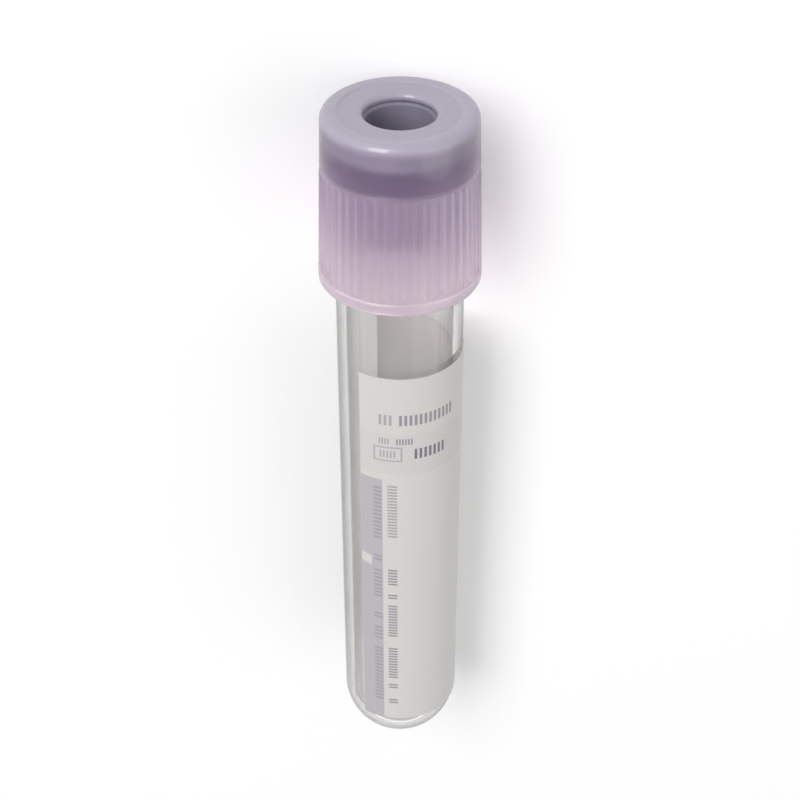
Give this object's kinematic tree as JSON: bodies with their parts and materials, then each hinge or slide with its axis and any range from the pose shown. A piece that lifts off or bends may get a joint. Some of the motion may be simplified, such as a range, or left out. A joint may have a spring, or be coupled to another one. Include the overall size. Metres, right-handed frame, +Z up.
{
  "type": "blood collection tube",
  "caption": "Clear round-bottomed blood collection tube with a paper label, a rubber stopper and a lavender pull-off safety closure, lying on its side.",
  "frame": {"origin": "on the surface that the tube lies on, under the middle of its bounding box", "axes": "+Y along the tube towards the closure, +Z up out of the labelled front, +X to the label's right"},
  "size_m": [0.0162, 0.0802, 0.0163],
  "materials": {
    "clear_plastic": "clear, polished",
    "label_paper": "smooth white label paper",
    "grey_rubber": "satin grey with a violet tinge",
    "lavender_plastic": "translucent lavender, satin"
  },
  "bodies": {
    "tube": {"tube": "clear_plastic", "label": "label_paper"},
    "stopper": {"rubber_stopper": "grey_rubber"},
    "shield": {"closure_shield": "lavender_plastic"}
  },
  "joints": [
    {"name": "closure_pull", "type": "slide", "parent": "tube", "child": "stopper", "axis": [0, 0.9995, 0.0301], "range_m": [0, 0.025]},
    {"name": "shield_twist", "type": "hinge", "parent": "stopper", "child": "shield", "pos_m": [0, 0.03488, 0.0085], "axis": [0, 0.9995, 0.0301], "continuous": true}
  ]
}
